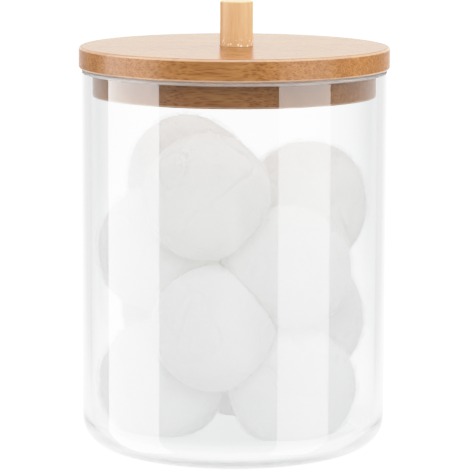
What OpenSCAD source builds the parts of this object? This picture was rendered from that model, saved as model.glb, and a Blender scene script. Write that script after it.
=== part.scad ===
// Round storage jar with a wooden push-in lid and a peg knob, filled with cotton balls.
// Millimetres. +Z is up and the origin is the middle of the jar's underside.

/* [Jar] */
// Outer diameter of the jar
jar_d = 90; // [84:1:98]
// Height of the rim above the table
jar_h = 112.4; // [98:0.1:135]
// Thickness of the side wall
wall = 2.8; // [2.2:0.1:4]
// Thickness of the floor
floor_t = 4; // [3:0.5:7]
// Rounding around the outside of the floor
foot_r = 8.5; // [4:0.5:11]
// Rounding inside, where the floor meets the wall
corner_r = 5.5; // [3:0.5:9]
// Rounding of the rim's two edges
rim_r = 0.8; // [0.3:0.1:1]

/* [Lid] */
// How far the lid stands out past the jar's wall
lid_lap = 0.9; // [0:0.1:3]
// Thickness of the lid above the rim
lid_t = 6.6; // [4:0.1:10]
// Depth of the plug below the rim
plug_h = 7.8; // [4:0.1:12]
// Clearance all round between the plug and the jar
plug_gap = 0.4; // [0.2:0.1:1]
// Rounding of the lid's and the plug's edges
edge_r = 0.9; // [0.2:0.1:1.5]

/* [Knob] */
// Diameter of the peg
knob_d = 9.8; // [8:0.2:16]
// Height of the peg above the lid
knob_h = 13.3; // [8:0.1:25]
// How far the peg stands to the right of the lid's middle
knob_off = 0.6; // [0:0.1:2]
// Depth of the blind hole that the peg is glued into
knob_seat = 6; // [3:0.5:9]
// Thickness of the glue all round the peg
glue_gap = 0.1; // [0.05:0.05:0.3]
// Rounding of the peg's top edge
knob_edge_r = 0.5; // [0.2:0.1:2]

/* [Cotton] */
// Diameter of one loose cotton ball
ball_d = 39; // [34:1:40]
// Clear height between the plug and the highest ball
headroom = 5.3; // [4.5:0.1:15]
// How far the lowest balls flatten under the others
settle = 3; // [0:0.5:6]
// Slope of the heap's top, which falls from left to right
heap_slope = 9.5; // [0:0.5:15]
// Direction of the top layer's front ball, measured from straight ahead to the right
heap_turn = -20; // [-60:5:60]
// Turn from one layer of balls to the layer below it
layer_turn = 63; // [50:1:70]
// Gap left between squeezed balls, and between them and the jar
soft_gap = 0.3; // [0.2:0.1:0.6]

/* [Hidden] */
$fn = 96;
// How far a cutting shape runs past what it cuts
over = 1;

jar_r = jar_d / 2;
bore_r = jar_r - wall;
lid_r = jar_r + lid_lap;
lid_top = jar_h + lid_t;
plug_r = bore_r - plug_gap;
plug_z = jar_h - plug_h;
knob_r = knob_d / 2;

// Balls lie three to a layer, each against the wall, and each layer is turned against the next
layers = 4;
per_layer = 3;
balls = layers * per_layer;
ball_r = ball_d / 2;
ring_r = bore_r - soft_gap - ball_r;
low_z = floor_t + ball_r - settle;
high_z = plug_z - headroom - ball_r;
pitch = (high_z - low_z) / (layers - 1);

function layer(i) = floor(i / per_layer);
function ball_angle(i) = heap_turn + layer_turn * (layers - 1 - layer(i)) + 360 / per_layer * (i % per_layer);
function ball_x(i) = ring_r * sin(ball_angle(i));
function ball_y(i) = -ring_r * cos(ball_angle(i));
function lean(i) = tan(heap_slope) * (ball_x(i) + ring_r) * layer(i) / (layers - 1);
function ball_at(i) = [ball_x(i), ball_y(i), low_z + pitch * layer(i) - lean(i)];
function ball_name(i) = str("cotton_ball_", i < 9 ? "0" : "", i + 1);

// Waste around a rounded corner at the origin, for material that lies left of it and below it
module corner_waste(r) {
    difference() {
        translate([-r, -r]) square(r + over);
        translate([-r, -r]) circle(r);
    }
}

// Half section of the jar's inside, drawn smaller all round by a gap
module inside_section(gap) {
    r = bore_r - gap;
    bottom = floor_t + gap;
    round_r = corner_r - gap;
    translate([0, bottom]) square([r - round_r, jar_h + over - bottom]);
    translate([0, bottom + round_r]) square([r, jar_h + over - bottom - round_r]);
    translate([r - round_r, bottom + round_r]) circle(round_r);
}

module jar() {
    color([0.86, 0.91, 0.93])
    rotate_extrude()
    difference() {
        square([jar_r, jar_h]);
        inside_section(0);
        translate([jar_r, 0]) mirror([0, 1]) corner_waste(foot_r);
        translate([jar_r, jar_h]) corner_waste(rim_r);
        translate([bore_r, jar_h]) mirror([1, 0]) corner_waste(rim_r);
    }
}

// The disc and its plug are one turned board, with a blind hole for the peg
module lid() {
    color([0.79, 0.58, 0.36])
    difference() {
        rotate_extrude()
        difference() {
            union() {
                translate([0, jar_h]) square([lid_r, lid_t]);
                translate([0, plug_z]) square([plug_r, plug_h + lid_t]);
            }
            translate([lid_r, lid_top]) corner_waste(edge_r);
            translate([lid_r, jar_h]) mirror([0, 1]) corner_waste(edge_r);
            translate([plug_r, plug_z]) mirror([0, 1]) corner_waste(edge_r);
        }
        translate([knob_off, 0, lid_top - knob_seat]) cylinder(h = knob_seat + over, r = knob_r + glue_gap);
    }
}

module knob() {
    color([0.87, 0.69, 0.47])
    translate([knob_off, 0, 0])
    rotate_extrude()
    difference() {
        translate([0, lid_top - knob_seat]) square([knob_r, knob_seat + knob_h]);
        translate([knob_r, lid_top + knob_h]) corner_waste(knob_edge_r);
    }
}

// The space that a neighbour takes: all that lies past the middle between the two balls
module neighbour_side(from, to) {
    way = to - from;
    reach = norm(way);
    translate(from)
    rotate([0, acos(way.z / reach), atan2(way.y, way.x)])
    translate([-ball_d, -ball_d, (reach - soft_gap) / 2])
    cube([2 * ball_d, 2 * ball_d, ball_d]);
}

// A loose ball, flattened where it meets the jar, the lid's headroom or a neighbour
module cotton_ball(i) {
    at = ball_at(i);
    color([0.96, 0.96, 0.94])
    difference() {
        intersection() {
            translate(at) sphere(ball_r);
            rotate_extrude() inside_section(soft_gap);
        }
        for (j = [0:balls - 1])
            if (j != i && norm(ball_at(j) - at) < ball_d + soft_gap) neighbour_side(at, ball_at(j));
    }
}

jar();
lid();
knob();
for (i = [0:balls - 1])
    cotton_ball(i);
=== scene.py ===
"""Looks of a round storage jar: a clear jar, a bamboo lid with a peg knob and a heap of cotton balls."""
import math
import random

import bmesh
import bpy
from mathutils import Matrix, Vector, noise


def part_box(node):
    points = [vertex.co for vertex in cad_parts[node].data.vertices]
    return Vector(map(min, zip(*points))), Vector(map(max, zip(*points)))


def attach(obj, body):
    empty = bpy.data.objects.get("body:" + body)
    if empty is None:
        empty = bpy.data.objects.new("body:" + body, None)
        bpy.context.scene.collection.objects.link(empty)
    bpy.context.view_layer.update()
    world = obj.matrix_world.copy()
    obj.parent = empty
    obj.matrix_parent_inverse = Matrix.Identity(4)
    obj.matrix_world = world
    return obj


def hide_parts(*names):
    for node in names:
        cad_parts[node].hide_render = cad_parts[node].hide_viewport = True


MM = 0.001

# Jar: what its box doesn't give
WALL = 2.8 * MM
FLOOR = 4.0 * MM
FOOT_ROUND = 8.5 * MM
CORNER_ROUND = 5.5 * MM
RIM_ROUND = 0.8 * MM
RIM_FROST = 0.25
RIM_FADE = 0.4 * MM
RIM_ROUGH = 0.6
SCUFFED = (0.3 * MM, 0.1 * MM)
SCUFF_ROUGH = 0.5
ACRYLIC_IOR = 1.49

# Lid and knob: what their boxes don't give
LID_THICK = 6.6 * MM
PLUG_GAP = 0.4 * MM
EDGE_ROUND = 0.9 * MM
GLUE_GAP = 0.1 * MM
KNOB_ROUND = 0.5 * MM
GLUE_TOP = 3.2 * MM
GLUE_SPECKS = 1100
GLUE_EDGE = (0.42, 0.26)
GLUE_COLOUR = (0.92, 0.8, 0.64)
GRAIN_TURN = math.radians(7)
# Painted highlight: a paler colour on the rounded edges of lid and knob, set by how steep the surface is there
EDGE_HIGHLIGHT = [(0.15, 0.0), (0.4, 0.3), (0.8, 0.3), (0.95, 0.0)]
BOARD_STRIP = 5.5 * MM
# Paler where a face looks along the fibres: end grain in part, painted light from the sides in part
END_GRAIN_AND_SIDE_LIGHT = (0.6, 0.85)
PALER_ENDS_AND_SIDE_LIGHT = (1.2, 1.2, 1.2)
GRAIN_SCALE = (80, 1000, 1000)
BUNDLE_SCALE = 1.9
STRIP_SHADES = (0.93, 1.07)
LACQUER_ROUGH = 0.25
LACQUER_IOR = 1.3

# Cotton: the heap's rule, as in the part's source
BALL_D = 39.0 * MM
HEADROOM = 5.3 * MM
SETTLE = 3.0 * MM
HEAP_SLOPE = math.radians(9.5)
HEAP_TURN = math.radians(-20)
LAYER_TURN = math.radians(63)
SOFT_GAP = 0.3 * MM
LAYERS = 4
PER_LAYER = 3
BALL_SINK = 0.5 * MM
PRESS = 8
UNDERSIDE = 0.75
LUMP_DEEP = 1.3
CREASE_DEEP = 0.6
FLUFF_DEEP = 0.4
CREASE_WIDE = 0.035
NEAR = 1.15
FACING = 0.2
FIRMNESS = 24
WOOL_WHITE = (0.985, 0.985, 0.98)
SEE_THROUGH = 0.5
FIBRES = 3000
FIBRE_POINTS = 7
FIBRE_STEP = (0.5 * MM, 1.1 * MM)
FIBRE_LIFT = 2.0 * MM
FIBRE_LOW = 1.3
FIBRE_BEND = 0.25
FIBRE_WIDE = 0.06 * MM
FIBRE_TWIST = 150

# Fineness of turned pieces
TURN_STEPS = 192
ROUND_STEPS = 8
HOLD = 0.15 * MM
WELD = 0.001 * MM

# Camera, fitted to the photograph
CAMERA_AT = (0.0, -0.8492, 0.1931)
CAMERA_PITCH = math.radians(8.74)
CAMERA_ROLL = math.radians(0.2)
CAMERA_YAW = math.radians(0.025)
SENSOR = 36.0
LENS = 221.27

# Studio
OBJECT_MIDDLE = (0.0, 0.0, 0.066)
FLOOR_RADIUS = 6.0
ROOM = [(0.02, 0.1), (0.3, 0.2), (0.5, 0.4), (0.82, 0.42), (0.92, 0.9), (0.97, 1.4), (0.99, 1.9)]
ROOM_BRIGHTEST = 1.9
TABLE_EDGE = (-0.2, -0.35)
TABLE_DROP = 0.1 * MM
TABLE_WHITE = 2.4
TABLE_SHINE = 0.75
# Painted shade on the floor far in front, seen through the jar
TABLE_FAR_FRONT = 0.1
TABLE_ASIDE = 0.75
# Painted shadow on the floor round the jar's foot, seen through the jar, and how far it reaches
TABLE_UNDER = 0.78
UNDER_JAR = (0.05, 0.09)
TABLE_BEAM = 1.75
BEAM_FROM = 0.85
BEAM_SPREAD = (0.0, 0.16)
FRONT = (-0.4, -0.85)
LIGHT_BOUNCES = 24
STRIP_AWAY = 0.6
STRIP_TALL = 1.6
STRIP_LEFT = 9.0
STRIP_LEFT_SPAN = (math.radians(-55.8), math.radians(-105.5))
STRIP_RIGHT = 6.5
STRIP_RIGHT_SPAN = (math.radians(32.2), math.radians(74))
OVERHEAD = 2.4
OVERHEAD_AT = (0, 0.1, 1.2)
OVERHEAD_SIZE = (1.4, 1.4)
FILL = 5.5
FILL_AT = (0, -1.3, 1.3)
FILL_SIZE = (1.1, 1.0)
PANEL_AWAY = 1.1
PANEL_SIZE = 0.8
PANEL_RISE = math.radians(12)
PANELS = [(0, 1.6), (60, 2.2), (-60, 1.8), (110, 5.0), (-120, 1.2), (180, 2.0)]
HEADSPACE = 1.2
GLOW_RADIUS = 40 * MM
GLOW_BELOW = 0.3 * MM
FILM_WHITE = 2.4
FILM_SHOULDER = [(0.55, 0.55), (0.86, 0.79), (1.12, 0.875), (1.3, 0.915), (1.7, 0.965)]


def put_in_scene(name, bm, material, body, node):
    """Make the object of a finished bmesh, and say what it rides on and stands for."""
    mesh = bpy.data.meshes.new(name)
    bm.to_mesh(mesh)
    bm.free()
    for face in mesh.polygons:
        face.use_smooth = True
    mesh.materials.append(material)
    piece = bpy.data.objects.new(name, mesh)
    bpy.context.scene.collection.objects.link(piece)
    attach(piece, body)
    if node:
        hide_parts(node)
    return piece


def with_holds(corners):
    """Put a plain point on each side of a corner, so that flat stretches stay flat to the eye."""
    held = []
    for k, (radius, height, rounding) in enumerate(corners):
        here = Vector((radius, height))
        if radius and k > 0:
            back = (Vector(corners[k - 1][:2]) - here).normalized() * (rounding + HOLD)
            held.append((radius + back.x, height + back.y, 0.0))
        held.append((radius, height, rounding))
        if radius and k < len(corners) - 1:
            ahead = (Vector(corners[k + 1][:2]) - here).normalized() * (rounding + HOLD)
            held.append((radius + ahead.x, height + ahead.y, 0.0))
    return held


def turned(corners):
    """Round the corners of a half outline, given as (radius, height, rounding), and spin it about Z."""
    bm = bmesh.new()
    points = with_holds(corners)
    verts = [bm.verts.new((radius, 0.0, height)) for radius, height, _ in points]
    for pair in zip(verts, verts[1:]):
        bm.edges.new(pair)
    for vert, (_, _, rounding) in zip(verts, points):
        if rounding:
            bmesh.ops.bevel(bm, geom=[vert], offset=rounding, segments=ROUND_STEPS, profile=0.5,
                            affect="VERTICES", material=-1)
    bmesh.ops.spin(bm, geom=bm.verts[:] + bm.edges[:], cent=(0, 0, 0), axis=(0, 0, 1), dvec=(0, 0, 0),
                   angle=math.tau, steps=TURN_STEPS, use_merge=True, use_duplicate=False)
    bmesh.ops.remove_doubles(bm, verts=bm.verts, dist=WELD)
    bmesh.ops.recalc_face_normals(bm, faces=bm.faces)
    return bm


def new_material(name):
    material = bpy.data.materials.new(name)
    material.use_nodes = True
    material.node_tree.nodes.clear()
    return material, material.node_tree


def add_node(tree, kind, **settings):
    node = tree.nodes.new(kind)
    for key, value in settings.items():
        setattr(node, key, value)
    return node


def clear_plastic():
    """Clear acrylic, scuffed underneath and matt on its cut rim. Lamps shine through it to reach the cotton."""
    material, tree = new_material("clear_acrylic")
    link = tree.links.new
    shell = add_node(tree, "ShaderNodeBsdfPrincipled")
    shell.inputs["Base Color"].default_value = (0.975, 0.982, 0.985, 1)
    shell.inputs["IOR"].default_value = ACRYLIC_IOR
    shell.inputs["Transmission Weight"].default_value = 1.0
    place = add_node(tree, "ShaderNodeTexCoord")
    split = add_node(tree, "ShaderNodeSeparateXYZ")
    link(place.outputs["Object"], split.inputs["Vector"])
    scuffs = add_node(tree, "ShaderNodeMapRange")
    scuffs.inputs["From Min"].default_value = SCUFFED[0]
    scuffs.inputs["From Max"].default_value = SCUFFED[1]
    scuffs.inputs["To Max"].default_value = SCUFF_ROUGH
    link(split.outputs["Z"], scuffs.inputs["Value"])
    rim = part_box("jar")[1].z
    cut = add_node(tree, "ShaderNodeMapRange")
    cut.inputs["From Min"].default_value = rim - RIM_ROUND - RIM_FADE
    cut.inputs["From Max"].default_value = rim - RIM_ROUND
    cut.inputs["To Max"].default_value = RIM_ROUGH
    link(split.outputs["Z"], cut.inputs["Value"])
    matt = add_node(tree, "ShaderNodeMath", operation="MAXIMUM")
    link(scuffs.outputs["Result"], matt.inputs[0])
    link(cut.outputs["Result"], matt.inputs[1])
    link(matt.outputs["Value"], shell.inputs["Roughness"])
    frost = add_node(tree, "ShaderNodeBsdfDiffuse")
    frost.inputs["Color"].default_value = (0.93, 0.93, 0.92, 1)
    frosted = add_node(tree, "ShaderNodeMath", operation="MULTIPLY")
    frosted.inputs[1].default_value = RIM_FROST
    link(cut.outputs["Result"], frosted.inputs[0])
    wall = add_node(tree, "ShaderNodeMixShader")
    link(frosted.outputs["Value"], wall.inputs["Fac"])
    link(shell.outputs["BSDF"], wall.inputs[1])
    link(frost.outputs["BSDF"], wall.inputs[2])
    film = add_node(tree, "ShaderNodeBsdfTransparent")
    film.inputs["Color"].default_value = (0.95, 0.955, 0.96, 1)
    rays = add_node(tree, "ShaderNodeLightPath")
    mix = add_node(tree, "ShaderNodeMixShader")
    out = add_node(tree, "ShaderNodeOutputMaterial")
    link(rays.outputs["Is Shadow Ray"], mix.inputs["Fac"])
    link(wall.outputs["Shader"], mix.inputs[1])
    link(film.outputs["BSDF"], mix.inputs[2])
    link(mix.outputs["Shader"], out.inputs["Surface"])
    return material


def glue_marks(tree, place, colour):
    """Pale specks of dry glue in a low band around the foot of the peg."""
    link = tree.links.new
    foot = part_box("lid")[1].z
    split = add_node(tree, "ShaderNodeSeparateXYZ")
    link(place.outputs["Object"], split.inputs["Vector"])
    specks = add_node(tree, "ShaderNodeTexVoronoi", feature="F1")
    specks.inputs["Scale"].default_value = GLUE_SPECKS
    link(place.outputs["Object"], specks.inputs["Vector"])
    amount = add_node(tree, "ShaderNodeMath", operation="MULTIPLY")
    link(step_between(tree, split.outputs["Z"], foot + GLUE_TOP, foot), amount.inputs[0])
    link(step_between(tree, specks.outputs["Distance"], *GLUE_EDGE), amount.inputs[1])
    marked = add_node(tree, "ShaderNodeMix", data_type="RGBA")
    marked.inputs["B"].default_value = (*GLUE_COLOUR, 1)
    link(amount.outputs["Value"], marked.inputs["Factor"])
    link(colour, marked.inputs["A"])
    return marked.outputs["Result"]


def bamboo(name, base, streak, vein, highlight_colour, turn, lacquer, glued=False):
    """Bamboo strips glued side by side. The turn lays the fibres along X. Cut ends are paler, with dots; that
    paleness, as strong on any face that looks along the fibres, is partly end grain and partly painted light
    from the sides. Rounded edges carry a painted highlight.
    """
    material, tree = new_material(name)
    link = tree.links.new
    place = add_node(tree, "ShaderNodeTexCoord")
    laid = add_node(tree, "ShaderNodeMapping")
    laid.inputs["Rotation"].default_value = turn
    link(place.outputs["Object"], laid.inputs["Vector"])
    grain = add_node(tree, "ShaderNodeMapping")
    grain.inputs["Scale"].default_value = GRAIN_SCALE
    link(laid.outputs["Vector"], grain.inputs["Vector"])

    bundles = add_node(tree, "ShaderNodeTexVoronoi", feature="F1")
    bundles.inputs["Scale"].default_value = BUNDLE_SCALE
    bundles.inputs["Randomness"].default_value = 0.85
    link(grain.outputs["Vector"], bundles.inputs["Vector"])
    dots = add_node(tree, "ShaderNodeMapRange")
    dots.inputs["From Min"].default_value = 0.2
    dots.inputs["From Max"].default_value = 0.5
    dots.inputs["To Min"].default_value = 1.0
    dots.inputs["To Max"].default_value = 0.0
    link(bundles.outputs["Distance"], dots.inputs["Value"])

    fibres = add_node(tree, "ShaderNodeTexNoise")
    fibres.inputs["Scale"].default_value = 0.9
    fibres.inputs["Detail"].default_value = 4.0
    fibres.inputs["Roughness"].default_value = 0.65
    link(grain.outputs["Vector"], fibres.inputs["Vector"])
    spread = add_node(tree, "ShaderNodeMapRange")
    spread.inputs["From Min"].default_value = 0.36
    spread.inputs["From Max"].default_value = 0.64
    link(fibres.outputs["Fac"], spread.inputs["Value"])
    tone = add_node(tree, "ShaderNodeMix", data_type="RGBA")
    tone.inputs["A"].default_value = (*base, 1)
    tone.inputs["B"].default_value = (*streak, 1)
    link(spread.outputs["Result"], tone.inputs["Factor"])

    split = add_node(tree, "ShaderNodeSeparateXYZ")
    link(laid.outputs["Vector"], split.inputs["Vector"])
    number = add_node(tree, "ShaderNodeMath", operation="DIVIDE")
    number.inputs[1].default_value = BOARD_STRIP
    link(split.outputs["Y"], number.inputs[0])
    whole = add_node(tree, "ShaderNodeMath", operation="FLOOR")
    link(number.outputs["Value"], whole.inputs[0])
    luck = add_node(tree, "ShaderNodeTexWhiteNoise", noise_dimensions="1D")
    link(whole.outputs["Value"], luck.inputs["W"])
    shade = add_node(tree, "ShaderNodeMapRange")
    shade.inputs["To Min"].default_value = STRIP_SHADES[0]
    shade.inputs["To Max"].default_value = STRIP_SHADES[1]
    link(luck.outputs["Value"], shade.inputs["Value"])
    strips = add_node(tree, "ShaderNodeHueSaturation")
    link(shade.outputs["Result"], strips.inputs["Value"])
    link(tone.outputs["Result"], strips.inputs["Color"])

    mark = add_node(tree, "ShaderNodeMix", data_type="RGBA", blend_type="MULTIPLY")
    mark.inputs["B"].default_value = (*vein, 1)
    link(dots.outputs["Result"], mark.inputs["Factor"])
    link(strips.outputs["Color"], mark.inputs["A"])

    facing = add_node(tree, "ShaderNodeSeparateXYZ")
    link(place.outputs["Normal"], facing.inputs["Vector"])
    upright = add_node(tree, "ShaderNodeMath", operation="ABSOLUTE")
    link(facing.outputs["Z"], upright.inputs[0])
    # Painted highlight: the rounded edges, neither level nor upright, are mixed toward a paler colour
    highlit = add_node(tree, "ShaderNodeFloatCurve")
    highlight_curve = highlit.mapping.curves[0]
    highlight_curve.points[1].location = (1.0, 0.0)
    for slope, highlight in EDGE_HIGHLIGHT:
        highlight_curve.points.new(slope, highlight)
    link(upright.outputs["Value"], highlit.inputs["Value"])
    laid_normal = add_node(tree, "ShaderNodeMapping", vector_type="VECTOR")
    laid_normal.inputs["Rotation"].default_value = turn
    link(place.outputs["Normal"], laid_normal.inputs["Vector"])
    fibre_way = add_node(tree, "ShaderNodeSeparateXYZ")
    link(laid_normal.outputs["Vector"], fibre_way.inputs["Vector"])
    # Faces that look along the fibres are made paler: partly end grain, partly painted light from the sides
    end_on = add_node(tree, "ShaderNodeMath", operation="ABSOLUTE")
    link(fibre_way.outputs["X"], end_on.inputs[0])
    ends = add_node(tree, "ShaderNodeMix", data_type="RGBA", blend_type="MULTIPLY")
    ends.inputs["B"].default_value = (*PALER_ENDS_AND_SIDE_LIGHT, 1)
    link(step_between(tree, end_on.outputs["Value"], *END_GRAIN_AND_SIDE_LIGHT), ends.inputs["Factor"])
    link(mark.outputs["Result"], ends.inputs["A"])

    edges = add_node(tree, "ShaderNodeMix", data_type="RGBA")
    edges.inputs["B"].default_value = (*highlight_colour, 1)
    link(highlit.outputs["Value"], edges.inputs["Factor"])
    link(ends.outputs["Result"], edges.inputs["A"])

    shell = add_node(tree, "ShaderNodeBsdfPrincipled")
    shell.inputs["Roughness"].default_value = 0.55
    shell.inputs["Specular IOR Level"].default_value = 0.0
    shell.inputs["Coat Weight"].default_value = lacquer
    shell.inputs["Coat Roughness"].default_value = LACQUER_ROUGH
    shell.inputs["Coat IOR"].default_value = LACQUER_IOR
    colour = edges.outputs["Result"]
    if glued:
        colour = glue_marks(tree, place, colour)
    link(colour, shell.inputs["Base Color"])

    relief = add_node(tree, "ShaderNodeBump")
    relief.inputs["Strength"].default_value = 0.2
    relief.inputs["Distance"].default_value = 0.05 * MM
    link(dots.outputs["Result"], relief.inputs["Height"])
    link(relief.outputs["Normal"], shell.inputs["Normal"])
    out = add_node(tree, "ShaderNodeOutputMaterial")
    link(shell.outputs["BSDF"], out.inputs["Surface"])
    return material


def cotton_wool():
    """Loose white wool, which passes on nearly as much light as it throws back."""
    material, tree = new_material("cotton_wool")
    link = tree.links.new
    shell = add_node(tree, "ShaderNodeBsdfPrincipled")
    shell.inputs["Base Color"].default_value = (*WOOL_WHITE, 1)
    shell.inputs["Roughness"].default_value = 1.0
    shell.inputs["Specular IOR Level"].default_value = 0.1
    shell.inputs["Sheen Weight"].default_value = 0.3
    shell.inputs["Sheen Roughness"].default_value = 0.6
    place = add_node(tree, "ShaderNodeTexCoord")
    fluff = add_node(tree, "ShaderNodeTexNoise")
    fluff.inputs["Scale"].default_value = 900
    fluff.inputs["Detail"].default_value = 4
    link(place.outputs["Object"], fluff.inputs["Vector"])
    relief = add_node(tree, "ShaderNodeBump")
    relief.inputs["Strength"].default_value = 0.3
    relief.inputs["Distance"].default_value = 0.3 * MM
    link(fluff.outputs["Fac"], relief.inputs["Height"])
    link(relief.outputs["Normal"], shell.inputs["Normal"])
    passed = add_node(tree, "ShaderNodeBsdfTranslucent")
    passed.inputs["Color"].default_value = (*WOOL_WHITE, 1)
    mix = add_node(tree, "ShaderNodeMixShader")
    mix.inputs["Fac"].default_value = SEE_THROUGH
    link(shell.outputs["BSDF"], mix.inputs[1])
    link(passed.outputs["BSDF"], mix.inputs[2])
    out = add_node(tree, "ShaderNodeOutputMaterial")
    link(mix.outputs["Shader"], out.inputs["Surface"])
    return material


def jar(material):
    low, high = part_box("jar")
    outer = high.x
    bore = outer - WALL
    outline = [
        (0.0, FLOOR, 0.0),
        (bore, FLOOR, CORNER_ROUND),
        (bore, high.z, RIM_ROUND),
        (outer, high.z, RIM_ROUND),
        (outer, low.z, FOOT_ROUND),
        (0.0, low.z, 0.0),
    ]
    return put_in_scene("clear_jar", turned(outline), material, "jar", "jar")


def lid(material):
    low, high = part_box("lid")
    rim = high.z - LID_THICK
    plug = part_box("jar")[1].x - WALL - PLUG_GAP
    knob_low, knob_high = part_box("knob")
    aside = (knob_low.x + knob_high.x) / 2
    hole = knob_high.x - aside + GLUE_GAP
    outline = [
        (0.0, low.z, 0.0),
        (plug, low.z, EDGE_ROUND),
        (plug, rim, 0.0),
        (high.x, rim, EDGE_ROUND),
        (high.x, high.z, EDGE_ROUND),
        (hole, high.z, 0.0),
        (hole, knob_low.z, 0.0),
        (0.0, knob_low.z, 0.0),
    ]
    bm = turned(outline)
    wall_of_hole = [vert for vert in bm.verts if vert.co.z > knob_low.z - WELD
                    and math.hypot(vert.co.x, vert.co.y) < hole + 2 * HOLD]
    bmesh.ops.translate(bm, vec=(aside, 0, 0), verts=wall_of_hole)
    return put_in_scene("turned_lid", bm, material, "lid", "lid")


def knob(material):
    low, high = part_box("knob")
    aside = (low.x + high.x) / 2
    radius = (high.x - low.x) / 2
    outline = [
        (0.0, low.z, 0.0),
        (radius, low.z, 0.0),
        (radius, high.z, KNOB_ROUND),
        (0.0, high.z, 0.0),
    ]
    bm = turned(outline)
    bmesh.ops.translate(bm, vec=(aside, 0, 0), verts=bm.verts)
    return put_in_scene("peg_knob", bm, material, "lid", "knob")


def heap():
    """Centre of each cotton ball, by the rule that the part's source has."""
    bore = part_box("jar")[1].x - WALL
    ring = bore - SOFT_GAP - BALL_D / 2
    low_z = FLOOR + BALL_D / 2 - SETTLE
    high_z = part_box("lid")[0].z - HEADROOM - BALL_D / 2
    centres = []
    for layer in range(LAYERS):
        up = layer / (LAYERS - 1)
        for spot in range(PER_LAYER):
            angle = HEAP_TURN + LAYER_TURN * (LAYERS - 1 - layer) + math.tau / PER_LAYER * spot
            x = ring * math.sin(angle)
            y = -ring * math.cos(angle)
            z = low_z + (high_z - low_z) * up - math.tan(HEAP_SLOPE) * (x + ring) * up
            centres.append(Vector((x, y, z)))
    return centres


def squeezed_radius(centre, way, centres, bore):
    """Distance from a ball's centre to its surface: the loose ball, softly held back by what presses on it."""
    limits = [BALL_D / 2]
    for other in centres:
        gap = other - centre
        reach = gap.length
        if 0 < reach < BALL_D * NEAR:
            facing = way.dot(gap) / reach
            if facing > FACING:
                limits.append((reach - SOFT_GAP) / 2 / facing)
    if way.z < -FACING:
        limits.append((centre.z - FLOOR - SOFT_GAP) / -way.z)
    side = Vector((way.x, way.y))
    if side.length > FACING:
        inner = bore - SOFT_GAP
        a = side.length_squared
        b = centre.x * way.x + centre.y * way.y
        c = centre.x ** 2 + centre.y ** 2 - inner ** 2
        limits.append((-b + math.sqrt(b * b - a * c)) / a)
    return sum(limit ** -FIRMNESS for limit in limits) ** (-1 / FIRMNESS)


def sunk(way, radius, seed):
    """How far a ball's surface lies below its room: lumps, a crease and fluff, less where it is pressed."""
    lumps = 0.5 + 0.5 * noise.noise(way * 1.6 + seed)
    fold = abs(noise.noise(way * 1.1 + seed * 2))
    crease = math.exp(-(fold / CREASE_WIDE) ** 2)
    fluff = 0.5 + 0.5 * noise.noise(way * 9 + seed)
    free = (radius / (BALL_D / 2)) ** PRESS * (1 - UNDERSIDE * max(0.0, -way.z))
    return (BALL_SINK + (LUMP_DEEP * lumps + CREASE_DEEP * crease + FLUFF_DEEP * fluff) * MM) * free


def cotton_ball(index, centres, material):
    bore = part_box("jar")[1].x - WALL
    centre = centres[index]
    bm = bmesh.new()
    bmesh.ops.create_icosphere(bm, subdivisions=6, radius=1.0)
    seed = Vector((index * 7.3, index * 3.1, index * 5.7))
    for vert in bm.verts:
        way = vert.co.normalized()
        radius = squeezed_radius(centre, way, centres, bore)
        vert.co = centre + way * (radius - sunk(way, radius, seed))
    name = f"cotton_ball_{index + 1:02d}"
    piece = put_in_scene(f"{name}_wool", bm, material, "jar", name)
    return piece


def loose_fibres(index, centres, material):
    """Fine twisted ribbons that run along a ball and stand off it, within its full round."""
    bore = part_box("jar")[1].x - WALL
    centre = centres[index]
    seed = Vector((index * 7.3, index * 3.1, index * 5.7))
    luck = random.Random(index + 1)
    noise.seed_set(index + 1)
    bm = bmesh.new()
    for _ in range(FIBRES):
        way = Vector((luck.gauss(0, 1), luck.gauss(0, 1), luck.gauss(0, 1))).normalized()
        run = Vector((luck.gauss(0, 1), luck.gauss(0, 1), luck.gauss(0, 1)))
        bend = Vector((luck.gauss(0, 1), luck.gauss(0, 1), luck.gauss(0, 1))) * FIBRE_BEND
        step = luck.uniform(*FIBRE_STEP) / (BALL_D / 2)
        lift = FIBRE_LIFT * luck.random() ** FIBRE_LOW
        last = None
        for k in range(FIBRE_POINTS):
            radius = squeezed_radius(centre, way, centres, bore)
            room = sunk(way, radius, seed) - FIBRE_WIDE
            rise = min(lift * math.sin(math.pi * k / (FIBRE_POINTS - 1)), room)
            vert = bm.verts.new(centre + way * (radius - FIBRE_WIDE - room + rise))
            if last:
                bm.edges.new((last, vert))
            last = vert
            run = (run - way * run.dot(way)).normalized() + bend
            way = (way + run * step).normalized()
    grown = bmesh.ops.extrude_edge_only(bm, edges=bm.edges[:])
    for part in grown["geom"]:
        if isinstance(part, bmesh.types.BMVert):
            part.co += noise.noise_vector(part.co * FIBRE_TWIST + seed).normalized() * FIBRE_WIDE
    name = f"cotton_ball_{index + 1:02d}"
    return put_in_scene(f"{name}_fibres", bm, material, "jar", name)


def film():
    """Develop the picture with a soft shoulder, which keeps whites apart as a camera does."""
    settings = bpy.context.scene.view_settings
    settings.view_transform = "Standard"
    settings.use_curve_mapping = True
    mapping = settings.curve_mapping
    mapping.white_level = (FILM_WHITE, FILM_WHITE, FILM_WHITE)
    curve = mapping.curves[3]
    for light, shown in FILM_SHOULDER:
        curve.points.new(light / FILM_WHITE, shown)
    mapping.update()


def step_between(tree, value, start, end):
    """0 at the start and before it, 1 at the end and past it."""
    step = add_node(tree, "ShaderNodeMapRange", interpolation_type="SMOOTHSTEP")
    step.inputs["From Min"].default_value = start
    step.inputs["From Max"].default_value = end
    tree.links.new(value, step.inputs["Value"])
    return step.outputs["Result"]


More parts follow.
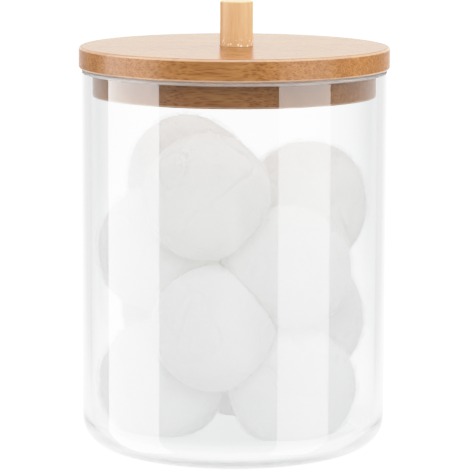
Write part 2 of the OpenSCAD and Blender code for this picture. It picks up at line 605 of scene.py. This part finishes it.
def paper_floor():
    """White paper, brighter in the open than through the jar, where a beam of light widens behind it. Through
    the jar it also shows painted shade far in front and a painted shadow round the jar's foot.
    """
    bm = bmesh.new()
    bmesh.ops.create_circle(bm, cap_ends=True, segments=64, radius=FLOOR_RADIUS)
    bmesh.ops.translate(bm, vec=(0, 0, -TABLE_DROP), verts=bm.verts)
    mesh = bpy.data.meshes.new("studio_floor")
    bm.to_mesh(mesh)
    bm.free()
    floor = bpy.data.objects.new("studio_floor", mesh)
    bpy.context.scene.collection.objects.link(floor)
    material, tree = new_material("pale_floor")
    link = tree.links.new
    place = add_node(tree, "ShaderNodeTexCoord")
    split = add_node(tree, "ShaderNodeSeparateXYZ")
    link(place.outputs["Object"], split.inputs["Vector"])
    aside = add_node(tree, "ShaderNodeMath", operation="ABSOLUTE")
    link(split.outputs["X"], aside.inputs[0])
    along = add_node(tree, "ShaderNodeMath", operation="ADD")
    along.inputs[1].default_value = BEAM_FROM
    link(split.outputs["Y"], along.inputs[0])
    slant = add_node(tree, "ShaderNodeMath", operation="DIVIDE")
    link(aside.outputs["Value"], slant.inputs[0])
    link(along.outputs["Value"], slant.inputs[1])
    beam = add_node(tree, "ShaderNodeMix")
    beam.inputs["A"].default_value = TABLE_BEAM
    beam.inputs["B"].default_value = TABLE_ASIDE
    link(step_between(tree, slant.outputs["Value"], *BEAM_SPREAD), beam.inputs["Factor"])
    glow = add_node(tree, "ShaderNodeMix")
    glow.inputs["B"].default_value = TABLE_FAR_FRONT
    link(step_between(tree, split.outputs["Y"], *FRONT), glow.inputs["Factor"])
    link(beam.outputs["Result"], glow.inputs["A"])
    reach = add_node(tree, "ShaderNodeVectorMath", operation="LENGTH")
    link(place.outputs["Object"], reach.inputs[0])
    # Painted shadow on the floor round the jar's foot
    shade = add_node(tree, "ShaderNodeMix")
    shade.inputs["A"].default_value = TABLE_UNDER
    shade.inputs["B"].default_value = 1.0
    link(step_between(tree, reach.outputs["Value"], *UNDER_JAR), shade.inputs["Factor"])
    shaded = add_node(tree, "ShaderNodeMath", operation="MULTIPLY")
    link(glow.outputs["Result"], shaded.inputs[0])
    link(shade.outputs["Result"], shaded.inputs[1])
    rays = add_node(tree, "ShaderNodeLightPath")
    open_air = add_node(tree, "ShaderNodeMix")
    open_air.inputs["A"].default_value = TABLE_WHITE
    link(rays.outputs["Is Transmission Ray"], open_air.inputs["Factor"])
    link(shaded.outputs["Value"], open_air.inputs["B"])
    seen = add_node(tree, "ShaderNodeMix")
    seen.inputs["B"].default_value = TABLE_SHINE
    link(rays.outputs["Diffuse Depth"], seen.inputs["Factor"])
    link(open_air.outputs["Result"], seen.inputs["A"])
    shell = add_node(tree, "ShaderNodeBsdfPrincipled")
    shell.inputs["Base Color"].default_value = (0.1, 0.1, 0.1, 1)
    shell.inputs["Roughness"].default_value = 0.7
    shell.inputs["Emission Color"].default_value = (1, 1, 1, 1)
    shell.inputs["Specular IOR Level"].default_value = 0.2
    link(seen.outputs["Result"], shell.inputs["Emission Strength"])
    out = add_node(tree, "ShaderNodeOutputMaterial")
    link(shell.outputs["BSDF"], out.inputs["Surface"])
    mesh.materials.append(material)
    floor.visible_glossy = False


def surroundings():
    """A white room that is dim on the side that the photograph was taken from."""
    world = bpy.data.worlds.new("studio")
    bpy.context.scene.world = world
    world.use_nodes = True
    tree = world.node_tree
    link = tree.links.new
    look = add_node(tree, "ShaderNodeTexCoord")
    part = add_node(tree, "ShaderNodeSeparateXYZ")
    link(look.outputs["Generated"], part.inputs["Vector"])
    depth = add_node(tree, "ShaderNodeMapRange")
    depth.inputs["From Min"].default_value = -1.0
    link(part.outputs["Y"], depth.inputs["Value"])
    ramp = add_node(tree, "ShaderNodeValToRGB")
    ramp.color_ramp.interpolation = "EASE"
    for place, light in ROOM:
        stop = ramp.color_ramp.elements.new(place)
        stop.color = (light / ROOM_BRIGHTEST, light / ROOM_BRIGHTEST, light / ROOM_BRIGHTEST, 1)
    ramp.color_ramp.elements.remove(ramp.color_ramp.elements[0])
    ramp.color_ramp.elements.remove(ramp.color_ramp.elements[-1])
    link(depth.outputs["Result"], ramp.inputs["Fac"])
    table = add_node(tree, "ShaderNodeMix", data_type="RGBA")
    table.inputs["B"].default_value = (1, 1, 1, 1)
    link(step_between(tree, part.outputs["Z"], *TABLE_EDGE), table.inputs["Factor"])
    link(ramp.outputs["Color"], table.inputs["A"])
    link(table.outputs["Result"], tree.nodes["Background"].inputs["Color"])
    tree.nodes["Background"].inputs["Strength"].default_value = ROOM_BRIGHTEST


def softbox(name, at, size, radiance, reflects, lights):
    """An even rectangle of light that faces the object and that the camera doesn't see."""
    data = bpy.data.lights.new(name, "AREA")
    data.shape = "RECTANGLE"
    data.size, data.size_y = size
    data.energy = radiance * size[0] * size[1] * math.pi
    lamp = bpy.data.objects.new(name, data)
    lamp.location = at
    lamp.rotation_euler = (Vector(OBJECT_MIDDLE) - Vector(at)).to_track_quat("-Z", "Y").to_euler()
    lamp.visible_camera = False
    lamp.visible_transmission = False
    lamp.visible_glossy = reflects
    lamp.visible_diffuse = lights
    bpy.context.scene.collection.objects.link(lamp)


def strip(name, near, far, radiance):
    """A tall softbox that the jar's wall mirrors, from one bearing to another, counted from the camera."""
    middle = (near + far) / 2
    width = 2 * STRIP_AWAY * math.tan(abs(far - near) / 2)
    at = (STRIP_AWAY * math.sin(middle), -STRIP_AWAY * math.cos(middle), OBJECT_MIDDLE[2])
    softbox(name, at, (width, STRIP_TALL), radiance, True, False)


def light_paths():
    """Let light run its full course in the jar's wall and foot."""
    course = bpy.context.scene.cycles
    course.max_bounces = LIGHT_BOUNCES
    course.transmission_bounces = LIGHT_BOUNCES
    course.glossy_bounces = LIGHT_BOUNCES
    course.diffuse_bounces = LIGHT_BOUNCES // 2


def studio():
    film()
    light_paths()
    paper_floor()
    surroundings()
    strip("strip_left", *STRIP_LEFT_SPAN, STRIP_LEFT)
    strip("strip_right", *STRIP_RIGHT_SPAN, STRIP_RIGHT)
    softbox("overhead", OVERHEAD_AT, OVERHEAD_SIZE, OVERHEAD, True, True)
    softbox("front_fill", FILL_AT, FILL_SIZE, FILL, False, True)
    headspace_glow()
    for bearing, radiance in PANELS:
        turn = math.radians(bearing)
        at = (PANEL_AWAY * math.sin(turn), -PANEL_AWAY * math.cos(turn),
              OBJECT_MIDDLE[2] + PANEL_AWAY * math.tan(PANEL_RISE))
        softbox(f"panel_{bearing}", at, (PANEL_SIZE, PANEL_SIZE), radiance, False, True)


def headspace_glow():
    """A lamp that stands in for the light that wool, plug and wall pass to and fro under the lid."""
    data = bpy.data.lights.new("headspace_glow", "AREA")
    data.shape = "DISK"
    data.size = 2 * GLOW_RADIUS
    data.energy = HEADSPACE * math.pi * GLOW_RADIUS ** 2 * math.pi
    lamp = bpy.data.objects.new("headspace_glow", data)
    lamp.location = (0, 0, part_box("lid")[0].z - GLOW_BELOW)
    lamp.visible_camera = False
    lamp.visible_transmission = False
    lamp.visible_glossy = False
    bpy.context.scene.collection.objects.link(lamp)


def camera():
    data = bpy.data.cameras.new("camera")
    data.sensor_width = SENSOR
    data.lens = LENS
    data.clip_start = 0.05
    data.clip_end = 50
    view = bpy.data.objects.new("camera", data)
    level = Matrix.Rotation(math.radians(90), 4, "X")
    view.matrix_world = (Matrix.Translation(CAMERA_AT) @ Matrix.Rotation(-CAMERA_YAW, 4, "Z")
                         @ Matrix.Rotation(-CAMERA_PITCH, 4, "X") @ level
                         @ Matrix.Rotation(CAMERA_ROLL, 4, "Z"))
    bpy.context.scene.collection.objects.link(view)
    bpy.context.scene.camera = view


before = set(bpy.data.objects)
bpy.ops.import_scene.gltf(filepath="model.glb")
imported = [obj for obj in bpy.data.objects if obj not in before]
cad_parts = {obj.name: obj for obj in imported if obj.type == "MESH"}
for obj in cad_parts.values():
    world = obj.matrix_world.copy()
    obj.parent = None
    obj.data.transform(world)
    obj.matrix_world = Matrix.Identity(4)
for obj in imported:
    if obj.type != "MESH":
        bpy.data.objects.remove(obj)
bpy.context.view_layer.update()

camera()
studio()
board = bamboo("bamboo_board", (0.35, 0.155, 0.049), (0.255, 0.1, 0.028), (0.66, 0.57, 0.46),
               (0.85, 0.66, 0.5), (0, 0, GRAIN_TURN), 0.8)
peg = bamboo("bamboo_peg", (0.68, 0.41, 0.21), (0.63, 0.37, 0.18), (0.95, 0.92, 0.88),
             (0.85, 0.62, 0.4), (0, math.radians(90), 0), 0.6, glued=True)
wool = cotton_wool()
jar(clear_plastic())
lid(board)
knob(peg)
ball_centres = heap()
for ball in range(len(ball_centres)):
    cotton_ball(ball, ball_centres, wool)
    loose_fibres(ball, ball_centres, wool)
